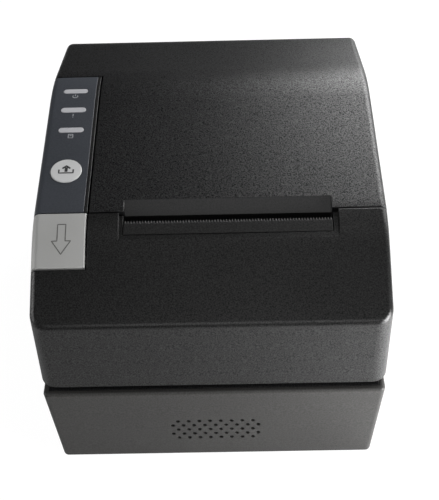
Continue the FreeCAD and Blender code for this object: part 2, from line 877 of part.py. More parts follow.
# Lid frame: inner plate with ribs, platen arms, blade beam and hinge barrels.
frame_top = casing_form("frame_top", "wall", False)
frame_under = casing_form("frame_under", "(wall + 2)", False)
frame_room = fuse(
    "frame_room",
    box(
        "frame_main",
        ("column_right + 4", "half_width - 5"),
        ("seam_y + 9", "hinge_y - 4"),
        ("hinge_z + 4", "ridge_z"),
    ),
    box(
        "frame_wing",
        ("-half_width + 5", "column_right + 5"),
        ("column_rear + 4", "hinge_y - 4"),
        ("hinge_z + 4", "ridge_z"),
    ),
)
frame_plate = common("frame_plate", cut("frame_layer", frame_top, frame_under), frame_room)
frame_parts = [frame_plate]
frame_bores = []
for x in ("-20", "slot_shift", "35"):
    rib = box(
        "frame_rib",
        (f"{x} - 1", f"{x} + 1"),
        ("seam_y + 12", "hinge_y - 8"),
        ("ridge_z - 13", "ridge_z"),
    )
    frame_parts.append(common("frame_rib_trim", rib, frame_top))
for low, high in (("plate_left - 5.5", "plate_left - 2.4"), ("plate_right + 2.4", "plate_right + 5.5")):
    web = box("arm_plate", (low, high), ("platen_y - 4", "platen_y + 12"), ("platen_z", "ridge_z"))
    frame_parts.append(common("arm_trim", web, frame_top))
    frame_parts.append(rod("arm_end", "X", ("platen_y", "platen_z"), (low, high), "bush_radius + 2.5"))
    frame_bores.append(rod("bush_bore", "X", ("platen_y", "platen_z"), (low, high), "bush_radius"))
beam = box(
    "blade_beam",
    ("plate_left - 2.4", "plate_right + 2.4"),
    ("platen_y - 0.5", "platen_y + 3"),
    ("blade_z - 0.1", "ridge_z"),
)
frame_parts.append(common("beam_trim", beam, frame_top))
for low, high in (("-half_width + 7.2", "-half_width + 15"), ("half_width - 15", "half_width - 7.2")):
    frame_parts.append(rod("barrel", "X", ("hinge_y", "hinge_z"), (low, high), "6"))
    strap = box("barrel_strap", (low, high), ("hinge_y - 5", "hinge_y + 5"), ("hinge_z", "ridge_z"))
    frame_parts.append(common("strap_trim", strap, frame_top))
    frame_bores.append(
        rod("barrel_bore", "X", ("hinge_y", "hinge_z"), (low, high), "hinge_pin_radius + run_fit"),
    )
exit_clear = box(
    "exit_clear",
    ("slot_left - 3", "slot_right + 3"),
    ("seam_y", "seam_y + 9.5"),
    ("bend_z - 8", "ridge_z"),
)
piece("lid_frame", cut("lid_frame_cut", fuse("lid_frame_solid", *frame_parts), exit_clear, *frame_bores))

# Platen: rubber sleeve on a steel shaft in two bushes, with its gear on the right.
platen_ends = ("slot_shift - platen_length / 2", "slot_shift + platen_length / 2")
rubber = rod("rubber", "X", ("platen_y", "platen_z"), platen_ends, "platen_radius")
rubber_bore = rod("rubber_bore", "X", ("platen_y", "platen_z"), platen_ends, "shaft_radius")
piece("platen_roller", cut("platen_sleeve", rubber, rubber_bore))
piece(
    "platen_shaft",
    rod(
        "platen_rod",
        "X",
        ("platen_y", "platen_z"),
        ("plate_left - 12", "gear_x + gear_width + 0.5"),
        "shaft_radius",
    ),
)
for place, low, high in (
    ("left", "plate_left - 5.5", "plate_left + 0.5"),
    ("right", "plate_right - 0.5", "plate_right + 5.5"),
):
    sleeve = rod("bush", "X", ("platen_y", "platen_z"), (low, high), "bush_radius")
    bore = rod("bush_inside", "X", ("platen_y", "platen_z"), (low, high), "shaft_radius + run_fit")
    piece("platen_bush_" + place, cut("bush_cut", sleeve, bore))
fixed_edge = ("platen_y - platen_radius", "platen_y + 3")
piece(
    "fixed_blade",
    box(
        "fixed_blade_plate",
        ("plate_left + 1", "plate_right - 1"),
        fixed_edge,
        ("blade_z - 0.1 - blade_thickness", "blade_z - 0.1"),
    ),
)


def bearing(from_y, from_z, to_y, to_z):
    """Angle of a direction, counted the way the gears' teeth are."""
    return math.degrees(math.atan2(val(to_y) - val(from_y), val(from_z) - val(to_z)))


down = bearing("platen_y", "platen_z", "idler_y", "idler_z")
idler_phase = down + 180 + 180 / val("idler_teeth")
across = bearing("idler_y", "idler_z", "motor_y", "motor_z")
lag = (across - idler_phase) % (360 / val("idler_teeth"))
motor_phase = across + 180 + 180 / val("motor_teeth") + lag * val("idler_teeth") / val("motor_teeth")
module = val("gear_module")
width = val("gear_width")


def gear_spot(y, z):
    return V(val("gear_x"), val(y), val(z))


piece(
    "platen_gear",
    gear(
        "platen_wheel",
        module,
        val("platen_teeth"),
        width,
        val("shaft_radius"),
        gear_spot("platen_y", "platen_z"),
        down,
    ),
)
idler_bore = val("pin_radius + 0.5 + run_fit")
piece(
    "idler_gear",
    gear(
        "idler_wheel",
        module,
        val("idler_teeth"),
        width,
        idler_bore,
        gear_spot("idler_y", "idler_z"),
        idler_phase,
    ),
)
axle = rod(
    "axle",
    "X",
    ("idler_y", "idler_z"),
    ("plate_right + plate_thickness", "gear_x + gear_width + 1.3"),
    "pin_radius + 0.5",
)
collar = rod(
    "axle_collar",
    "X",
    ("idler_y", "idler_z"),
    ("plate_right + plate_thickness", "gear_x - 0.3"),
    "4",
)
clip = rod(
    "axle_clip",
    "X",
    ("idler_y", "idler_z"),
    ("gear_x + gear_width + 0.3", "gear_x + gear_width + 1"),
    "3.4",
)
piece("idler_axle", fuse("idler_axle_solid", axle, collar, clip))
pinion = gear(
    "pinion_wheel",
    module,
    val("motor_teeth"),
    width,
    0,
    gear_spot("motor_y", "motor_z"),
    motor_phase,
)
spindle = rod(
    "spindle",
    "X",
    ("motor_y", "motor_z"),
    ("plate_right", "gear_x + gear_width + 0.5"),
    "pin_radius",
)
piece("motor_pinion", fuse("motor_pinion_solid", pinion, spindle))
motor_can = rod(
    "motor_can",
    "X",
    ("motor_y", "motor_z"),
    ("plate_right - motor_length", "plate_right"),
    "motor_radius",
)
motor_flange = box(
    "motor_flange",
    ("plate_right - 1.2", "plate_right"),
    ("motor_y - motor_radius - 4", "motor_y + motor_radius + 4"),
    ("motor_z - 5", "motor_z + 5"),
)
piece("feed_motor", fuse("feed_motor_solid", motor_can, motor_flange))

# Side plates of the print mechanism, open at the top for the platen's bushes.
for place, low, high in (
    ("left", "plate_left - plate_thickness", "plate_left"),
    ("right", "plate_right", "plate_right + plate_thickness"),
):
    plate = prism(
        "plate_" + place,
        "YZ",
        [
            ("deck_front + 3", "cover_bottom - 17"),
            ("platen_y + 8", "cover_bottom - 17"),
            ("platen_y + 8", "platen_z + 4"),
            ("head_y - 4", "platen_z + 4"),
            ("head_y - 6", "cutter_top - 1.5"),
            ("deck_front + 3", "cutter_top - 1.5"),
        ],
        low,
        high,
        [(0, "4"), (1, "4"), (2, "3")],
    )
    notch = rod("notch", "X", ("platen_y", "platen_z"), (low, high), "bush_radius + fit_gap")
    mouth = prism(
        "mouth_" + place,
        "YZ",
        [
            ("platen_y - bush_radius - fit_gap", "platen_z"),
            ("platen_y + bush_radius + fit_gap", "platen_z"),
            ("platen_y + bush_radius + 1.5", "platen_z + 5"),
            ("platen_y - bush_radius - 1.5", "platen_z + 5"),
        ],
        low,
        high,
    )
    shaft_hole = rod("shaft_hole", "X", ("cutter_y", "cutter_z"), (low, high), "2.5 + run_fit")
    spindle_hole = rod("spindle_hole", "X", ("motor_y", "motor_z"), (low, high), "4")
    outward = (high, f"{high} + 6") if place == "right" else (f"{low} - 6", low)
    foot = box(
        "plate_foot",
        outward,
        ("deck_front + 3", "deck_front + 11"),
        ("deck_top", "deck_top + plate_thickness"),
    )
    piece(
        "mech_plate_" + place,
        cut(
            "plate_cut_" + place,
            fuse("plate_solid_" + place, plate, foot),
            notch,
            mouth,
            shaft_hole,
            spindle_hole,
        ),
    )

# Thermal head on its heat sink, backed by a cross bar with leaf springs.
piece(
    "print_head",
    box(
        "head_strip",
        ("plate_left + 2", "plate_right - 2"),
        ("head_y - 1", "head_y"),
        ("head_foot + 2", "head_top"),
    ),
)
sink = box(
    "sink_block",
    ("plate_left + 0.4", "plate_right - 0.4"),
    ("head_y - 5", "head_y - 1"),
    ("head_foot", "head_top"),
)
fins = [
    box(
        "sink_groove",
        ("plate_left", "plate_right"),
        ("head_y - 5.5", "head_y - 3"),
        (f"head_foot + {z}", f"head_foot + {z + 1.6}"),
    )
    for z in (2, 5, 8)
]
piece("head_heatsink", cut("sink", sink, *fins))
bar = box(
    "bar_plate",
    ("plate_left", "plate_right"),
    ("head_y - 10.5", "head_y - 9"),
    ("head_foot", "cutter_top - 1.5"),
)
tongues = []
for x in ("slot_shift - platen_length * 0.22", "slot_shift + platen_length * 0.22"):
    tongues.append(
        prism(
            "spring_tongue",
            "YZ",
            [
                ("head_y - 9", "head_foot + 2"),
                ("head_y - 5.4", "head_top - 6"),
                ("head_y - 5", "head_top - 4"),
                ("head_y - 5.4", "head_top - 2"),
                ("head_y - 5.8", "head_top - 2"),
                ("head_y - 5.5", "head_top - 4"),
                ("head_y - 5.9", "head_top - 6"),
                ("head_y - 9", "head_foot + 3"),
            ],
            f"{x} - 5",
            f"{x} + 5",
        )
    )
piece("head_bar", fuse("head_bar_solid", bar, *tongues))

# Cutter: frame over the side plates, sliding blade with two racks, shaft, knob and geared motor.
table = box(
    "cutter_table",
    ("plate_left - plate_thickness", "plate_right + plate_thickness"),
    ("deck_front + 1", "seam_y - 0.6"),
    ("cutter_top - 1.5", "cutter_top"),
)
rails = []
for low, high in (
    ("plate_left - plate_thickness", "plate_left + 0.5"),
    ("plate_right - 0.5", "plate_right + plate_thickness"),
):
    rails.append(
        box(
            "rail_side",
            (low, high),
            ("deck_front + 1", "seam_y - 0.6"),
            ("cutter_top - 0.5", "cutter_top + 2.6"),
        ),
    )
for low, high in (("plate_left", "plate_left + 2.5"), ("plate_right - 2.5", "plate_right")):
    rails.append(
        box(
            "rail_lip",
            (low, high),
            ("deck_front + 6", "head_y - 8"),
            ("cutter_top + 1.3", "cutter_top + 2.6"),
        ),
    )
RACKS = ("slot_shift - 15.5", "slot_shift + 15.5")
rack_slots = [
    box(
        "rack_slot",
        (f"{x} - 2.6", f"{x} + 2.6"),
        ("deck_front", "cutter_y + 11.5"),
        ("cutter_top - 2", "cutter_top + 1"),
    )
    for x in RACKS
]
piece("cutter_frame", cut("cutter_frame_cut", fuse("cutter_frame_solid", table, *rails), *rack_slots))
blade = prism(
    "blade_plate",
    "XY",
    [
        ("plate_left + 0.8", "deck_front + 4"),
        ("plate_right - 0.8", "deck_front + 4"),
        ("plate_right - 0.8", "head_y - 3.3"),
        ("slot_shift", "head_y - 5.3"),
        ("plate_left + 0.8", "head_y - 3.3"),
    ],
    "blade_z",
    "blade_z + blade_thickness",
)
tooth = val("rack_module") * math.pi / 4
lean = math.tan(math.radians(20))
tip = val("rack_z - rack_module")
root = val("rack_z + rack_module * 1.25")
racks = []
for x in RACKS:
    profile = [V(0, val("cutter_y - 10.6"), val("blade_z")), V(0, val("cutter_y - 10.6"), root)]
    for step in range(-4, 1):
        middle = val("cutter_y") + (step + 0.5) * val("rack_module") * math.pi
        wide = tooth + lean * val("rack_module") * 1.25
        slim = tooth - lean * val("rack_module")
        profile += [
            V(0, middle - wide, root),
            V(0, middle - slim, tip),
            V(0, middle + slim, tip),
            V(0, middle + wide, root),
        ]
    profile += [V(0, val("cutter_y + 2.7"), root), V(0, val("cutter_y + 2.7"), val("blade_z")), profile[0]]
    rack = doc.addObject("Part::Feature", "rack")
    rack.Shape = Part.Face(Part.makePolygon(profile)).extrude(V(3.2, 0, 0))
    rack.Placement = FreeCAD.Placement(V(val(x) - 1.6, 0, 0), FreeCAD.Rotation())
    racks.append(rack)
piece("moving_blade", fuse("moving_blade_solid", blade, *racks))
shaft_parts = [rod("cutter_rod", "X", ("cutter_y", "cutter_z"), ("plate_left - 5", "gear_x + 7"), "2.5")]
for x in RACKS:
    at = V(val(x) - 2, val("cutter_y"), val("cutter_z"))
    shaft_parts.append(gear("cutter_pinion", val("rack_module"), val("pinion_teeth"), 4, 0, at, 180))
piece("cutter_shaft", fuse("cutter_shaft_solid", *shaft_parts))
knob = rod("knob_disc", "X", ("cutter_y", "cutter_z"), ("gear_x", "gear_x + 6"), "knob_radius")
grips = []
for number in range(12):
    angle = math.radians(number * 30)
    at = (f"cutter_y + knob_radius * {math.cos(angle)}", f"cutter_z + knob_radius * {math.sin(angle)}")
    grips.append(rod("knob_grip", "X", at, ("gear_x - 1", "gear_x + 7"), "1.3"))
knob_bore = rod("knob_bore", "X", ("cutter_y", "cutter_z"), ("gear_x - 1", "gear_x + 7"), "2.5")
piece("cutter_knob", cut("knob", knob, knob_bore, *grips))
gearbox = box(
    "gearbox",
    ("plate_left - 9", "plate_left - plate_thickness"),
    ("cutter_y - 8", "cutter_y + 8"),
    ("cutter_z - 22", "cutter_z + 5"),
)
can = rod("cutter_can", "X", ("cutter_y", "cutter_z - 12"), ("plate_left - 31", "plate_left - 9"), "9")
gearbox_bore = rod(
    "gearbox_bore",
    "X",
    ("cutter_y", "cutter_z"),
    ("plate_left - 6", "plate_left"),
    "2.5 + run_fit",
)
piece("cutter_motor", cut("cutter_motor_cut", fuse("cutter_motor_solid", gearbox, can), gearbox_bore))


# Tear bar: serrated strip fixed in the front cover behind the exit slot.
bar_tilt = (math.degrees(math.atan(val("slope_grade"))) + math.degrees(math.atan(val("lid_grade")))) / 2
bar_half = val("slot_width / 2 - 0.2")
bar_teeth = 72
tooth_pitch = 2 * bar_half / bar_teeth
serrated = [V(-bar_half, -2.2, 0), V(bar_half, -2.2, 0), V(bar_half, 2.7, 0)]
for number in range(bar_teeth):
    right = bar_half - number * tooth_pitch
    serrated += [V(right - tooth_pitch / 2, 4.2, 0), V(right - tooth_pitch, 2.7, 0)]
serrated.append(serrated[0])
tear = doc.addObject("Part::Feature", "tear_strip")
tear.Shape = Part.Face(Part.makePolygon(serrated)).extrude(V(0, 0, 1.6))
tear.Placement = FreeCAD.Placement(
    V(val("slot_shift"), val("seam_y - 7.3"), val("bend_z - 3.7")), FreeCAD.Rotation(V(1, 0, 0), bar_tilt)
)
piece("tear_bar", tear)

# Control panel: moulded plate over the column, with lamp windows and the button's hole.
panel_room = box(
    "panel_room",
    ("-half_width - 1", "column_right - lip_width - 0.1"),
    ("column_front", "column_rear - 0.1"),
    ("hinge_z", "ridge_z + 5"),
)
panel_block_top = common(
    "panel_block_top",
    common("panel_skin", outer, panel_room),
    panel_slab("panel_layer", "panel_thickness", "half_width"),
)
panel_tilt = math.degrees(math.atan(val("lid_grade")))
panel_x = "column_right - 10.9"


def on_panel(obj, y):
    """Stand a piece made round its own origin on the panel's face at a given depth."""
    spot = V(val(panel_x), val(y), val(f"bend_z + ({y} - bend_y) * lid_grade"))
    obj.Placement = FreeCAD.Placement(spot, FreeCAD.Rotation(V(1, 0, 0), panel_tilt))
    return obj


def panel_box(name, width, depth, low, high, y):
    obj = doc.addObject("Part::Box", name)
    bind(obj, "Length", width)
    bind(obj, "Width", depth)
    bind(obj, "Height", f"({high}) - ({low})")
    on_panel(obj, y)
    shift = FreeCAD.Placement(V(-val(width) / 2, -val(depth) / 2, val(low)), FreeCAD.Rotation())
    obj.Placement = obj.Placement.multiply(shift)
    return obj


def panel_pill(name, width, depth, low, high, y):
    """Upright bar with round ends."""
    x = f"(({width}) / 2)"
    v = f"(({depth}) / 2)"
    corners = [(f"-{x}", f"-{v}"), (x, f"-{v}"), (x, v), (f"-{x}", v)]
    return on_panel(
        prism(name, "XY", corners, low, high, [(i, f"({depth}) / 2 - 0.05") for i in range(4)]),
        y,
    )


def panel_rod(name, radius, low, high, y):
    obj = doc.addObject("Part::Cylinder", name)
    bind(obj, "Radius", radius)
    bind(obj, "Height", f"({high}) - ({low})")
    on_panel(obj, y)
    obj.Placement = obj.Placement.multiply(FreeCAD.Placement(V(0, 0, val(low)), FreeCAD.Rotation()))
    return obj


button_y = "column_front + 23.4"
LENSES = {
    "lamp_paper": "column_front + 48.4",
    "lamp_error": "column_front + 48.4 + lens_pitch",
    "lamp_power": "column_front + 48.4 + 2 * lens_pitch",
}
windows = [panel_rod("button_hole", "button_radius + 0.15", "-8", "4", button_y)]
for label, y in LENSES.items():
    drop = "-0.55" if label == "lamp_power" else "0"
    windows.append(panel_pill(label + "_window", "lens_width + 0.1", "lens_depth + 0.1", "-8", "4", y))
    piece(label, panel_pill(label + "_lens", "lens_width", "lens_depth", "-7.4", f"0.15 + {drop}", y))
piece("control_panel", cut("panel_plate", panel_block_top, *windows))
cap_block = panel_rod("button_cap_block", "button_radius", "-4", "0.35", button_y)
cap = soften(
    "button_cap",
    cap_block,
    "0.3",
    lambda edge: edge.Closed and edge.CenterOfMass.z > cap_block.Shape.CenterOfMass.z,
)
skirt = panel_rod("button_skirt", "button_radius + 0.8", "-4", "-panel_thickness - 0.5", button_y)
stem = panel_rod("button_stem", "2", "-5", "-4", button_y)
piece("feed_button", fuse("feed_button_solid", cap, skirt, stem))
board_plate = panel_box("panel_board_plate", "15.5", "70", "-9", "-7.4", "column_front + 44")
switch = panel_box("panel_switch", "6", "6", "-7.5", "-5 - button_travel - 0.1", button_y)
piece("panel_board", fuse("panel_board_solid", board_plate, switch))

# Lid release lever: pad on the slope, boss on its pin, arm and toe under the platen shaft.
pad_room = prism(
    "pad_room",
    "YZ",
    [
        ("lever_front", "crease_z + (lever_front - crease_y) * slope_grade - 3.4"),
        ("bend_y + 1", "bend_z - 4.4"),
        ("seam_y - lever_gap", "bend_z - 3.6"),
        ("seam_y - lever_gap", "ridge_z"),
        ("lever_front", "ridge_z"),
    ],
    "-half_width - 1",
    "column_right - 0.2",
)
skirt_room = prism(
    "skirt_room",
    "YZ",
    [
        ("lever_front", "wall_top + 3"),
        ("seam_y - lever_gap", "wall_top + 1.2"),
        ("seam_y - lever_gap", "ridge_z"),
        ("lever_front", "ridge_z"),
    ],
    "-half_width - 1",
    "-half_width + 1.8",
)
lever_pad = common("lever_pad", outer, pad_room)
pad_right = val("column_right - 0.2")
pad_front = val("lever_front")


def pad_rim(edge):
    """Upper edges of the pad along its right side and its front."""
    ends = [vertex.Point for vertex in edge.Vertexes]
    on_right = all(abs(p.x - pad_right) < 1e-3 for p in ends)
    on_front = all(abs(p.y - pad_front) < 1e-3 for p in ends)
    run = edge.CenterOfMass.y - val("crease_y")
    under = val("crease_z - 2") + run * val("slope_grade")
    flat = abs(ends[0].y - ends[-1].y) > 1 if on_right else abs(ends[0].x - ends[-1].x) > 1
    return (on_right or on_front) and flat and edge.CenterOfMass.z > under


lever_parts = [
    soften("lever_pad_soft", lever_pad, "0.6", pad_rim),
    common("lever_skirt", outer, skirt_room),
]
boss_span = ("-half_width + wall + 2.5", "column_right - 2.4")
lever_parts.append(rod("lever_boss", "X", ("lever_pin_y", "lever_pin_z"), boss_span, "3"))
web_room = box(
    "lever_web",
    boss_span,
    ("lever_pin_y - 1.5", "lever_pin_y + 1.5"),
    ("lever_pin_z", "ridge_z"),
)
lever_parts.append(common("lever_web_trim", outer, web_room))
arm_span = ("column_right - 6", "column_right - 2.4")
lever_parts.append(
    prism(
        "lever_arm",
        "YZ",
        [
            ("lever_pin_y - 3", "lever_pin_z"),
            ("lever_pin_y - 3", "platen_z + 4"),
            ("platen_y - 6", "platen_z - 8"),
            ("platen_y - 1", "platen_z - 8"),
            ("platen_y - 2", "platen_z - 4.8"),
            ("lever_pin_y + 2", "platen_z + 6"),
            ("lever_pin_y + 2", "lever_pin_z"),
        ],
        *arm_span,
    )
)
lever_parts.append(
    prism(
        "lever_toe",
        "YZ",
        [
            ("platen_y - 6", "platen_z - 8"),
            ("platen_y - 1", "platen_z - 8"),
            ("platen_y - 2", "platen_z - 4.8"),
            ("platen_y - 5", "platen_z - 5.3"),
        ],
        arm_span[0],
        "plate_left - 8.5",
    )
)
lever_hole = rod("lever_hole", "X", ("lever_pin_y", "lever_pin_z"), boss_span, "pin_radius + run_fit")
piece("release_lever", cut("lever", fuse("lever_solid", *lever_parts), lever_hole))

# Paper well: half-round bucket that the roll drops into, hung from the deck by its flange.
well_low = "slot_shift - well_width / 2"
well_high = "slot_shift + well_width / 2"
rim_z = "wall_top - 3"
well_outer = fuse(
    "well_outer",
    rod(
        "well_drum",
        "X",
        ("well_middle_y", "well_middle_z"),
        (f"{well_low} - well_wall", f"{well_high} + well_wall"),
        "well_radius + well_wall",
    ),
    box(
        "well_top",
        (f"{well_low} - well_wall", f"{well_high} + well_wall"),
        ("well_middle_y - well_radius - well_wall", "well_middle_y + well_radius + well_wall"),
        ("well_middle_z", rim_z),
    ),
    box(
        "well_flange",
        (f"{well_low} - 5", f"{well_high} + 5"),
        ("well_middle_y - well_radius - 5", "well_middle_y + well_radius + 5"),
        ("deck_top", "deck_top + 2"),
    ),
)
well_room = fuse(
    "well_room",
    rod("well_hollow", "X", ("well_middle_y", "well_middle_z"), (well_low, well_high), "well_radius"),
    box(
        "well_mouth",
        (well_low, well_high),
        ("well_middle_y - well_radius", "well_middle_y + well_radius"),
        ("well_middle_z", "ridge_z"),
    ),
)
well_cap = box("well_cap", ("-half_width", "half_width"), ("front_y", "rear_y"), (rim_z, "ridge_z + well_radius"))
piece("paper_well", cut("well", well_outer, well_room, well_cap))

# Main board with its rear sockets and the power switch.
board = box(
    "board",
    ("-half_width + 18", "half_width - 18"),
    ("rear_y - 95", "panel_y - 2.8"),
    ("board_z", "board_top"),
)
chips = [
    box("chip", ("-20", "0"), ("rear_y - 77", "rear_y - 57"), ("board_top - 0.1", "board_top + 2.4")),
    box("regulator", ("20", "34"), ("rear_y - 53", "rear_y - 43"), ("board_top - 0.1", "board_top + 4")),
]
piece("main_board", fuse("main_board_solid", board, *chips))
MOUTHS = {"lan_socket": (12, 8), "usb_socket": (8.6, 8), "drawer_socket": (9.8, 7)}
for name, (x, socket_width, height, depth) in SOCKETS.items():
    block = box(
        name + "_block",
        (f"{x} - {socket_width / 2}", f"{x} + {socket_width / 2}"),
        (f"panel_y + 0.3 - {depth}", "panel_y + 0.3"),
        ("board_top", f"board_top + {height}"),
    )
    if name == "power_inlet":
        mouth = rod("inlet_mouth", "Y", (x, "board_top + 7"), ("panel_y - 9", "panel_y + 1"), "5")
        pins = []
        for dx, dz in ((-2, 1.2), (2, 1.2), (0, -2.2)):
            at = (f"{x} + {dx}", f"board_top + {7 + dz}")
            pins.append(rod("inlet_pin", "Y", at, ("panel_y - 9.5", "panel_y - 2"), "0.6"))
        piece(name, fuse("inlet", cut("inlet_block", block, mouth), *pins))
        continue
    wide, tall = MOUTHS[name]
    mouth = box(
        name + "_mouth",
        (f"{x} - {wide / 2}", f"{x} + {wide / 2}"),
        ("panel_y - 11", "panel_y + 1"),
        ("board_top + 1.5", f"board_top + {1.5 + tall}"),
    )
    hollow = cut(name + "_hollow", block, mouth)
    if name == "usb_socket":
        tongue = box(
            "usb_tongue",
            (f"{x} - 2.8", f"{x} + 2.8"),
            ("panel_y - 11.5", "panel_y - 1.5"),
            ("board_top + 4", "board_top + 7"),
        )
        piece(name, fuse("usb", hollow, tongue))
    else:
        latch = box(
            name + "_latch",
            (f"{x} - 1.6", f"{x} + 1.6"),
            ("panel_y - 10", "panel_y + 1"),
            (f"board_top + {1.4 + tall}", f"board_top + {3 + tall}"),
        )
        piece(name, cut(name + "_cut", hollow, latch))
switch_body = box(
    "switch_body",
    (f"{SWITCH_X} - 6.8", f"{SWITCH_X} + 6.8"),
    ("panel_y - 14", "panel_y"),
    (f"{switch_z} - 9.8", f"{switch_z} + 9.8"),
)
switch_rim = box(
    "switch_rim",
    (f"{SWITCH_X} - 8", f"{SWITCH_X} + 8"),
    ("panel_y", "panel_y + 1.2"),
    (f"{switch_z} - 11", f"{switch_z} + 11"),
)
switch_well = box(
    "switch_well",
    (f"{SWITCH_X} - 5.5", f"{SWITCH_X} + 5.5"),
    ("panel_y - 9", "panel_y + 2"),
    (f"{switch_z} - 8.5", f"{switch_z} + 8.5"),
)
rocker_axis = ("panel_y - 2", switch_z)
rocker_bore = rod(
    "rocker_bore",
    "X",
    rocker_axis,
    (f"{SWITCH_X} - 6.3", f"{SWITCH_X} + 6.3"),
    "1.2 + run_fit",
)
piece(
    "switch_frame",
    cut("switch_cut", fuse("switch_solid", switch_body, switch_rim), switch_well, rocker_bore),
)
rocker = prism(
    "rocker",
    "YZ",
    [
        ("panel_y - 4", f"{switch_z} - 6"),
        ("panel_y - 4", f"{switch_z} + 6"),
        ("panel_y + 0.2", f"{switch_z} + 7.4"),
        ("panel_y + 0.6", f"{switch_z}"),
        ("panel_y + 2.6", f"{switch_z} - 7"),
    ],
    f"{SWITCH_X} - 5.2",
    f"{SWITCH_X} + 5.2",
)
rocker_pin = rod("rocker_pin", "X", rocker_axis, (f"{SWITCH_X} - 6.2", f"{SWITCH_X} + 6.2"), "1.2")
piece("power_rocker", fuse("rocker_solid", rocker, rocker_pin))

# Every finished sub-part is checked and written beside this file.
doc.recompute()
broken = [obj.Name for obj in doc.Objects if "Invalid" in obj.State or "Error" in obj.State]
broken += [obj.Label for obj in PIECES if obj.Shape.isNull() or not obj.Shape.isValid()]
if broken:
    raise RuntimeError("broken: " + ", ".join(broken))
os.makedirs("parts", exist_ok=True)
for obj in PIECES:
    obj.Shape.exportStep(f"parts/{obj.Label}.step")
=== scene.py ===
import math
import bmesh
import bpy
from mathutils import Matrix, Vector


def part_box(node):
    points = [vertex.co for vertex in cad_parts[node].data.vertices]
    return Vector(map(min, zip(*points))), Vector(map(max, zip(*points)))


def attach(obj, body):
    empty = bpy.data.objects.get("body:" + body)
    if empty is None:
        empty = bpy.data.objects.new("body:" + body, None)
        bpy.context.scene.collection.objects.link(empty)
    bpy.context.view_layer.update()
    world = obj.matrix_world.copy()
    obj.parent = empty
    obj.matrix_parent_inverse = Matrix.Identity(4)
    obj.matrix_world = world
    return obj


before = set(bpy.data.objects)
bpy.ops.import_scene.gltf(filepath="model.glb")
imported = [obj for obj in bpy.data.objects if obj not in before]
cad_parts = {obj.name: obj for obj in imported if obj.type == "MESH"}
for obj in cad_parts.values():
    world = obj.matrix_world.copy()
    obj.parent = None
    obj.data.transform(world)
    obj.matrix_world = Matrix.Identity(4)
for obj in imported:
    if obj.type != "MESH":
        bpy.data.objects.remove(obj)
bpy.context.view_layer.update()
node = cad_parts


# Base tub: warm dark grey ABS, injection moulded in one piece with a fine spark-eroded grain.
# The walls widen upwards so that it leaves the mould, and the upper housing is screwed on from below.
def moulded(name, dark, light, rough, grain, height):
    """Moulded plastic: slow colour drift, softened edges and the mould's grain in sheen and relief."""
    mat = bpy.data.materials.new(name)
    mat.use_nodes = True
    tree = mat.node_tree
    skin = tree.nodes["Principled BSDF"]
    place = tree.nodes.new("ShaderNodeTexCoord")
    drift = tree.nodes.new("ShaderNodeTexNoise")
    drift.inputs["Scale"].default_value = 18.0
    drift.inputs["Detail"].default_value = 3.0
    shades = tree.nodes.new("ShaderNodeValToRGB")
    shades.color_ramp.elements[0].position = 0.35
    shades.color_ramp.elements[0].color = (*dark, 1.0)
    shades.color_ramp.elements[1].position = 0.65
    shades.color_ramp.elements[1].color = (*light, 1.0)
    gloss = tree.nodes.new("ShaderNodeMapRange")
    rough_swing = 0.04
    gloss.inputs["To Min"].default_value = rough - rough_swing
    gloss.inputs["To Max"].default_value = rough + rough_swing
    pits = tree.nodes.new("ShaderNodeTexNoise")
    pits.inputs["Scale"].default_value = grain
    pits.inputs["Detail"].default_value = 1.0
    sheen = tree.nodes.new("ShaderNodeMapRange")
    sheen.inputs["From Min"].default_value = 0.3
    sheen.inputs["From Max"].default_value = 0.7
    sheen_middle = 0.45
    sheen_swing = 0.42 * height
    sheen.inputs["To Min"].default_value = sheen_middle - sheen_swing
    sheen.inputs["To Max"].default_value = sheen_middle + sheen_swing
    edge = tree.nodes.new("ShaderNodeBevel")
    edge.inputs["Radius"].default_value = 0.0005
    relief = tree.nodes.new("ShaderNodeBump")
    relief.inputs["Strength"].default_value = 0.4 * height
    relief.inputs["Distance"].default_value = 0.0002
    tree.links.new(place.outputs["Object"], drift.inputs["Vector"])
    tree.links.new(place.outputs["Object"], pits.inputs["Vector"])
    tree.links.new(drift.outputs["Fac"], shades.inputs["Fac"])
    tree.links.new(shades.outputs["Color"], skin.inputs["Base Color"])
    tree.links.new(drift.outputs["Fac"], gloss.inputs["Value"])
    tree.links.new(gloss.outputs["Result"], skin.inputs["Roughness"])
    tree.links.new(pits.outputs["Fac"], sheen.inputs["Value"])
    tree.links.new(sheen.outputs["Result"], skin.inputs["Specular IOR Level"])
    tree.links.new(pits.outputs["Fac"], relief.inputs["Height"])
    tree.links.new(edge.outputs["Normal"], relief.inputs["Normal"])
    tree.links.new(relief.outputs["Normal"], skin.inputs["Normal"])
    return mat


def paint(mat, *names):
    for name in names:
        node[name].data.materials.clear()
        node[name].data.materials.append(mat)


base_plastic = moulded("base_plastic", (0.0275, 0.0265, 0.0255), (0.0315, 0.0305, 0.029), 0.5, 1500.0, 0.35)
paint(base_plastic, "base_housing")

# Feet: four pads of black rubber pressed into round seats under the base.
# They are dull, a little dusty and rougher than any other piece.
foot_rubber = moulded("foot_rubber", (0.018, 0.018, 0.019), (0.028, 0.028, 0.028), 0.85, 900.0, 0.5)
paint(foot_rubber, "foot_front_left", "foot_front_right", "foot_rear_left", "foot_rear_right")


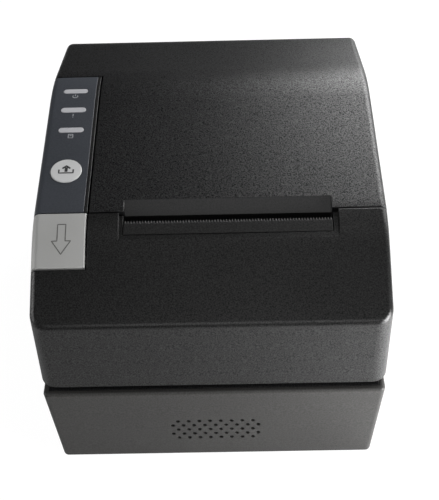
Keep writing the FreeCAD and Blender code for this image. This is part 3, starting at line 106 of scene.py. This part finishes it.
# Pins, axles and screws: steel rod drawn through a die, cut to length and zinc plated.
# The drawing leaves fine lines along each rod; the case screws are turned, so theirs run round.
def drawn_steel(name, tone, rough, stretch):
    """Metal with fine lines along the axis that has the small stretch."""
    mat = bpy.data.materials.new(name)
    mat.use_nodes = True
    tree = mat.node_tree
    skin = tree.nodes["Principled BSDF"]
    skin.inputs["Metallic"].default_value = 1.0
    place = tree.nodes.new("ShaderNodeTexCoord")
    pull = tree.nodes.new("ShaderNodeMapping")
    pull.inputs["Scale"].default_value = stretch
    lines = tree.nodes.new("ShaderNodeTexNoise")
    lines.inputs["Scale"].default_value = 300.0
    lines.inputs["Detail"].default_value = 4.0
    shades = tree.nodes.new("ShaderNodeValToRGB")
    shades.color_ramp.elements[0].color = (*[0.85 * part for part in tone], 1.0)
    shades.color_ramp.elements[1].color = (*tone, 1.0)
    gloss = tree.nodes.new("ShaderNodeMapRange")
    rough_swing = 0.08
    gloss.inputs["To Min"].default_value = rough - rough_swing
    gloss.inputs["To Max"].default_value = rough + rough_swing
    relief = tree.nodes.new("ShaderNodeBump")
    relief.inputs["Strength"].default_value = 0.12
    relief.inputs["Distance"].default_value = 0.0001
    tree.links.new(place.outputs["Object"], pull.inputs["Vector"])
    tree.links.new(pull.outputs["Vector"], lines.inputs["Vector"])
    tree.links.new(lines.outputs["Fac"], shades.inputs["Fac"])
    tree.links.new(shades.outputs["Color"], skin.inputs["Base Color"])
    tree.links.new(lines.outputs["Fac"], gloss.inputs["Value"])
    tree.links.new(gloss.outputs["Result"], skin.inputs["Roughness"])
    tree.links.new(lines.outputs["Fac"], relief.inputs["Height"])
    tree.links.new(relief.outputs["Normal"], skin.inputs["Normal"])
    return mat


rod_steel = drawn_steel("rod_steel", (0.62, 0.62, 0.60), 0.32, (0.05, 1.0, 1.0))
paint(rod_steel, "lid_pin_left", "lid_pin_right", "cover_pin_left", "cover_pin_right")
paint(rod_steel, "lever_pin", "idler_axle", "platen_shaft", "cutter_shaft")
screw_steel = drawn_steel("screw_steel", (0.45, 0.45, 0.43), 0.38, (1.0, 1.0, 0.1))
paint(screw_steel, "case_screw_front_left", "case_screw_front_right")
paint(screw_steel, "case_screw_rear_left", "case_screw_rear_right")

# Upper housing: black ABS moulding with the walls, the deck and the column that carries the panel.
# It has the lid's grain, only flatter, and is fixed to the base by the four case screws.
housing_black = moulded("housing_black", (0.005, 0.005, 0.0054), (0.0065, 0.0065, 0.007), 0.42, 1900.0, 0.5)
paint(housing_black, "upper_housing")

# Lid: black ABS shell with a marked, sparkling grain, hinged at the rear on two steel pins.
# The bevel over the exit, which looks forward, is polished so that the paper slides along it.
# The frame screwed inside it is a plainer moulding that holds the platen and the fixed blade.
lid_plastic = moulded("lid_plastic", (0.005, 0.005, 0.0054), (0.0065, 0.0065, 0.007), 0.40, 1900.0, 0.95)
lid_tree = lid_plastic.node_tree
lid_facing = lid_tree.nodes.new("ShaderNodeSeparateXYZ")
lid_bevel = lid_tree.nodes.new("ShaderNodeMapRange")
lid_bevel.inputs["From Min"].default_value = -0.6
lid_bevel.inputs["From Max"].default_value = -0.7
lid_bevel.inputs["To Max"].default_value = 0.85
lid_pits = lid_tree.nodes["Noise Texture.001"]
lid_flat = lid_tree.nodes.new("ShaderNodeMix")
lid_flat.inputs["B"].default_value = 0.5
lid_tree.links.new(lid_tree.nodes["Texture Coordinate"].outputs["Normal"], lid_facing.inputs["Vector"])
lid_tree.links.new(lid_facing.outputs["Y"], lid_bevel.inputs["Value"])
lid_tree.links.new(lid_bevel.outputs["Result"], lid_flat.inputs["Factor"])
lid_tree.links.new(lid_pits.outputs["Fac"], lid_flat.inputs["A"])
lid_tree.links.new(lid_flat.outputs["Result"], lid_tree.nodes["Map Range.001"].inputs["Value"])
lid_tree.links.new(lid_flat.outputs["Result"], lid_tree.nodes["Bump"].inputs["Height"])
paint(lid_plastic, "lid_shell")
frame_plastic = moulded("frame_plastic", (0.020, 0.020, 0.021), (0.026, 0.026, 0.027), 0.6, 1100.0, 0.2)
paint(frame_plastic, "lid_frame")

# Front cover: satin black ABS moulding with a lighter grain than the lid's.
# It tips forward on two pins near its lower edge, so that the cutter can be reached.
cover_plastic = moulded("cover_plastic", (0.006, 0.006, 0.006), (0.0075, 0.0075, 0.0075), 0.34, 1900.0, 0.6)
paint(cover_plastic, "front_cover")

# Tear bar: toothed strip of dark glass-filled plastic, clipped into the cover's slot.
# The tips of its teeth are painted paler than the rest: a painted highlight where they catch the light.
# Painted highlight: the colour runs from the dark tone to the pale one towards the tips of the teeth.
bar_plastic = moulded("bar_plastic", (0.006, 0.006, 0.006), (0.055, 0.055, 0.055), 0.45, 1800.0, 0.4)
bar_tree = bar_plastic.node_tree
bar_split = bar_tree.nodes.new("ShaderNodeSeparateXYZ")
bar_tip_highlight = bar_tree.nodes.new("ShaderNodeMapRange")
bar_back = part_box("tear_bar")[1].y
bar_highlight_from = 0.0026
bar_highlight_to = 0.0006
bar_tip_highlight.inputs["From Min"].default_value = bar_back - bar_highlight_from
bar_tip_highlight.inputs["From Max"].default_value = bar_back - bar_highlight_to
bar_tree.links.new(bar_tree.nodes["Texture Coordinate"].outputs["Object"], bar_split.inputs["Vector"])
bar_tree.links.new(bar_split.outputs["Y"], bar_tip_highlight.inputs["Value"])
bar_tree.links.new(bar_tip_highlight.outputs["Result"], bar_tree.nodes["Color Ramp"].inputs["Fac"])
paint(bar_plastic, "tear_bar")

# Paper well: bucket of black plastic that the roll drops into, hung from the deck by its flange.
# Its inside has no grain and is polished by the paper.
well_plastic = moulded("well_plastic", (0.022, 0.022, 0.023), (0.030, 0.030, 0.031), 0.38, 800.0, 0.08)
paint(well_plastic, "paper_well")

# Control panel: dark grey satin film over a moulded plate, let into the top of the left column.
# Three milky acrylic bars in it carry light up from the board below.
panel_film = moulded("panel_film", (0.048, 0.053, 0.0625), (0.0555, 0.0605, 0.072), 0.38, 1600.0, 0.25)
paint(panel_film, "control_panel")
lamp_acrylic = moulded("lamp_acrylic", (0.52, 0.52, 0.545), (0.59, 0.59, 0.615), 0.3, 500.0, 0.04)
lamp_skin = lamp_acrylic.node_tree.nodes["Principled BSDF"]
lamp_skin.inputs["Subsurface Weight"].default_value = 0.3
lamp_skin.inputs["Subsurface Radius"].default_value = (0.001, 0.001, 0.001)
paint(lamp_acrylic, "lamp_power", "lamp_error", "lamp_paper")

# Feed button and release lever: a light grey cap that slides in the panel, and a pad painted silver.
# Both are moulded in ABS; pressing the pad's front edge lifts the lid.
button_plastic = moulded("button_plastic", (0.63, 0.635, 0.635), (0.70, 0.705, 0.705), 0.42, 1600.0, 0.15)
paint(button_plastic, "feed_button")
lever_paint = moulded("lever_paint", (0.42, 0.42, 0.41), (0.49, 0.49, 0.48), 0.38, 1600.0, 0.25)
paint(lever_paint, "release_lever")

# Signs: thin pad-printed ink on the button and the film, and on the lever's pad dark lines of painted shade
# that stand for its engraved lines.
# They are plain pictures, laid where the real panel carries words.
bpy.context.view_layer.update()


def middle(name):
    """Middle of a node as seen from above, in millimetres."""
    low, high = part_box(name)
    return 500 * (low.x + high.x), 500 * (low.y + high.y)


def on_face(host, x, y, lift):
    """Point a little above the upper face of a node, at a place given in millimetres."""
    hit, spot, normal, face = node[host].ray_cast(Vector((x / 1000, y / 1000, 0.5)), Vector((0, 0, -1)))
    return spot + normal * (lift / 1000)


def stroke(name, host, body, ink, centre, points, width):
    """Thin coloured line, ink or painted shade, on the face of a node, along points given round a centre in
    millimetres.
    """
    path = []
    for (x0, y0), (x1, y1) in zip(points, points[1:]):
        steps = max(1, round(math.dist((x0, y0), (x1, y1)) / 0.6))
        path += [(x0 + (x1 - x0) * i / steps, y0 + (y1 - y0) * i / steps) for i in range(steps)]
    path.append(points[-1])
    mesh = bmesh.new()
    rows = []
    for number, (x, y) in enumerate(path):
        before = path[max(number - 1, 0)]
        after = path[min(number + 1, len(path) - 1)]
        along = Vector((after[0] - before[0], after[1] - before[1])).normalized()
        across = Vector((-along.y, along.x)) * (width / 2)
        row = []
        for side, lift in ((1, -0.02), (1, 0.03), (-1, 0.03), (-1, -0.02)):
            at_x = centre[0] + x + side * across.x
            at_y = centre[1] + y + side * across.y
            row.append(mesh.verts.new(on_face(host, at_x, at_y, lift)))
        rows.append(row)
    for low, high in zip(rows, rows[1:]):
        for i in range(4):
            mesh.faces.new((low[i], low[(i + 1) % 4], high[(i + 1) % 4], high[i]))
    mesh.faces.new(rows[0][::-1])
    mesh.faces.new(rows[-1])
    bmesh.ops.recalc_face_normals(mesh, faces=mesh.faces)
    data = bpy.data.meshes.new(name)
    mesh.to_mesh(data)
    mesh.free()
    line = bpy.data.objects.new(name, data)
    bpy.context.scene.collection.objects.link(line)
    data.materials.append(ink)
    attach(line, body)


dark_ink = moulded("dark_ink", (0.030, 0.030, 0.032), (0.038, 0.038, 0.040), 0.5, 900.0, 0.05)
tray = [(-3.1, 0.3), (-3.1, -1.7), (3.1, -1.7), (3.1, 0.3)]
shaft = [(0, -1.0), (0, 1.6)]
head = [(-1.7, 0.9), (0, 2.4), (1.7, 0.9)]
for number, (line, width) in enumerate(((tray, 0.65), (shaft, 1.3), (head, 0.8))):
    stroke(f"feed_sign_{number}", "feed_button", "button", dark_ink, middle("feed_button"), line, width)
pale_ink = moulded("pale_ink", (0.36, 0.37, 0.39), (0.42, 0.43, 0.45), 0.5, 900.0, 0.05)
ring = [(1.15 * math.sin(turn * math.pi / 10), 1.0 * math.cos(turn * math.pi / 10)) for turn in range(3, 18)]
SIGNS = {
    "power": [ring, [(0, 0.2), (0, 1.3)]],
    "error": [[(0, -0.1), (0, 1.2)], [(0, -1.0), (0, -0.6)]],
    "paper": [[(-1.0, -1.1), (-1.0, 1.1), (1.0, 1.1), (1.0, -1.1), (-1.0, -1.1)], [(-0.5, 0.3), (0.5, 0.3)]],
}
sign_drop = 4.1
fine_line = 0.4
for lamp, lines in SIGNS.items():
    x, y = middle("lamp_" + lamp)
    sign_middle = (x, y - sign_drop)
    for number, line in enumerate(lines):
        stroke(f"{lamp}_sign_{number}", "control_panel", "printer", pale_ink, sign_middle, line, fine_line)
# Painted shade: dark lines laid on the lever's pad where the grooves of an engraving would lie in shade.
groove_painted_shade = moulded("groove_painted_shade", (0.13, 0.13, 0.125), (0.16, 0.16, 0.15), 0.6, 900.0, 0.05)
arrow = [(-1.7, 6), (-1.7, -1), (-4, -1), (0, -6), (4, -1), (1.7, -1), (1.7, 6), (-1.7, 6)]
pad_front = 1000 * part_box("release_lever")[0].y
pad_middle = (middle("lever_pin")[0], pad_front + 10.8)
stroke("lever_sign", "release_lever", "lever", groove_painted_shade, pad_middle, arrow, fine_line)

# Platen: ground black rubber bonded to its shaft, which turns in two white acetal bushes.
# The gears that drive it are moulded in the same acetal.
platen_rubber = moulded("platen_rubber", (0.022, 0.022, 0.022), (0.032, 0.032, 0.032), 0.7, 1500.0, 0.3)
paint(platen_rubber, "platen_roller")
acetal = moulded("acetal", (0.66, 0.65, 0.60), (0.72, 0.71, 0.66), 0.4, 700.0, 0.05)
paint(acetal, "platen_bush_left", "platen_bush_right", "platen_gear", "idler_gear", "motor_pinion")

# Print mechanism: side plates, head bar and cutter frame pressed from sheet steel and zinc plated.
# The two motors have drawn steel cans with the same plating.
pressed_steel = drawn_steel("pressed_steel", (0.55, 0.56, 0.56), 0.36, (1.0, 1.0, 0.08))
paint(pressed_steel, "mech_plate_left", "mech_plate_right", "head_bar", "cutter_frame")
paint(pressed_steel, "feed_motor", "cutter_motor")

# Thermal head: strip of glazed ceramic with the heating line along its upper edge.
# It is glued to an extruded aluminium heat sink with grooves along its back.
head_ceramic = moulded("head_ceramic", (0.42, 0.36, 0.26), (0.50, 0.44, 0.33), 0.2, 400.0, 0.03)
paint(head_ceramic, "print_head")
sink_aluminium = drawn_steel("sink_aluminium", (0.75, 0.75, 0.76), 0.4, (0.06, 1.0, 1.0))
paint(sink_aluminium, "head_heatsink")

# Cutter: two hardened steel blades, ground across their edges.
# The knob for winding the moving one back by hand is moulded in green plastic.
blade_steel = drawn_steel("blade_steel", (0.70, 0.70, 0.69), 0.25, (1.0, 0.06, 1.0))
paint(blade_steel, "fixed_blade", "moving_blade")
knob_plastic = moulded("knob_plastic", (0.03, 0.17, 0.08), (0.04, 0.21, 0.10), 0.45, 900.0, 0.1)
paint(knob_plastic, "cutter_knob")

# Boards: glass-fibre laminate under green solder mask, with a weave that shows through.
# One lies on posts below the well and the other is held under the control panel.
solder_mask = moulded("solder_mask", (0.010, 0.085, 0.035), (0.016, 0.13, 0.055), 0.35, 260.0, 0.2)
paint(solder_mask, "main_board", "panel_board")

# Rear sockets: plated steel shells for the network and USB sockets, soldered to the main board.
# The drawer socket, the power inlet and the switch are black nylon; the rocker is a glossier black.
shell_steel = drawn_steel("shell_steel", (0.66, 0.66, 0.65), 0.3, (0.2, 1.0, 1.0))
paint(shell_steel, "lan_socket", "usb_socket")
socket_nylon = moulded("socket_nylon", (0.02, 0.02, 0.02), (0.028, 0.028, 0.028), 0.5, 1300.0, 0.2)
paint(socket_nylon, "drawer_socket", "power_inlet", "switch_frame")
rocker_plastic = moulded("rocker_plastic", (0.016, 0.016, 0.016), (0.022, 0.022, 0.022), 0.3, 1300.0, 0.08)
paint(rocker_plastic, "power_rocker")

# Floor: wide pale sheet that the printer stands on, not part of the object.
# The camera sees most of it as plain white, and it keeps the printer's shadow.
floor_mesh = bpy.data.meshes.new("floor")
reach = 6
floor_corners = [(-reach, -reach, 0), (reach, -reach, 0), (reach, reach, 0), (-reach, reach, 0)]
floor_mesh.from_pydata(floor_corners, [], [(0, 1, 2, 3)])
floor = bpy.data.objects.new("floor", floor_mesh)
bpy.context.scene.collection.objects.link(floor)
floor_mat = bpy.data.materials.new("floor_sheet")
floor_mat.use_nodes = True
floor_tree = floor_mat.node_tree
floor_skin = floor_tree.nodes["Principled BSDF"]
floor_skin.inputs["Base Color"].default_value = (0.9, 0.9, 0.9, 1.0)
floor_skin.inputs["Roughness"].default_value = 0.9
floor_glow = floor_tree.nodes.new("ShaderNodeEmission")
floor_glow.inputs["Strength"].default_value = 1.1
floor_path = floor_tree.nodes.new("ShaderNodeLightPath")
floor_share = floor_tree.nodes.new("ShaderNodeMapRange")
floor_share.inputs["To Max"].default_value = 0.87
floor_mix = floor_tree.nodes.new("ShaderNodeMixShader")
floor_tree.links.new(floor_path.outputs["Is Camera Ray"], floor_share.inputs["Value"])
floor_tree.links.new(floor_share.outputs["Result"], floor_mix.inputs["Fac"])
floor_tree.links.new(floor_skin.outputs["BSDF"], floor_mix.inputs[1])
floor_tree.links.new(floor_glow.outputs["Emission"], floor_mix.inputs[2])
floor_tree.links.new(floor_mix.outputs["Shader"], floor_tree.nodes["Material Output"].inputs["Surface"])
floor_mesh.materials.append(floor_mat)

# Studio light: soft boxes close by on the right that sheen the lid and the front, and a dim surround.
# A fill behind the camera opens the exit slot, and a weak one keeps the dark left side readable.
world = bpy.data.worlds.new("studio")
bpy.context.scene.world = world
world.use_nodes = True
world_tree = world.node_tree
surround = world_tree.nodes["Background"]
surround.inputs["Color"].default_value = (1.0, 1.0, 1.0, 1.0)
world_path = world_tree.nodes.new("ShaderNodeLightPath")
world_level = world_tree.nodes.new("ShaderNodeMapRange")
world_level.inputs["To Min"].default_value = 0.06
world_level.inputs["To Max"].default_value = 1.0
world_tree.links.new(world_path.outputs["Is Camera Ray"], world_level.inputs["Value"])
world_tree.links.new(world_level.outputs["Result"], surround.inputs["Strength"])
aim = Vector((0, 0, 0.06))
for name, spot, power, side in (
    ("key_box", (0.208, 0.312, 0.314), 1.9, 0.27),
    ("side_box", (0.325, 0.163, 0.229), 0.6, 0.23),
    ("rear_strip", (0.5, 1.0, 0.3), 0.8, 0.4),
    ("front_box", (0.26, -0.21, 0.085), 1.85, 0.15),
    ("top_box", (0.05, -0.05, 0.9), 0.3, 0.4),
    ("fill_box", (0.03, -0.62, 0.62), 0.9, 0.4),
    ("left_box", (-0.75, -0.12, 0.36), 2.4, 0.5),
):
    light = bpy.data.lights.new(name, "AREA")
    light.energy = power
    light.size = side
    holder = bpy.data.objects.new(name, light)
    holder.location = spot
    holder.rotation_euler = (aim - Vector(spot)).to_track_quat("-Z", "Y").to_euler()
    bpy.context.scene.collection.objects.link(holder)
bpy.context.scene.view_settings.view_transform = "Standard"

# Camera: above and in front, looking down at 45 degrees as in the photograph.
# A slight turn and roll set the printer as it stands there.
lens = bpy.data.cameras.new("photo_camera")
lens.lens = 72.0
lens.sensor_width = 36.0
lens.clip_start = 0.01
camera = bpy.data.objects.new("photo_camera", lens)
turn = Matrix.Rotation(math.radians(1.085), 4, "Z")
tilt = Matrix.Rotation(math.radians(45.0), 4, "X")
roll = Matrix.Rotation(math.radians(-1.896), 4, "Z")
camera.matrix_world = Matrix.Translation((0.0093, -0.3553, 0.3963)) @ turn @ tilt @ roll
bpy.context.scene.collection.objects.link(camera)
bpy.context.scene.camera = camera
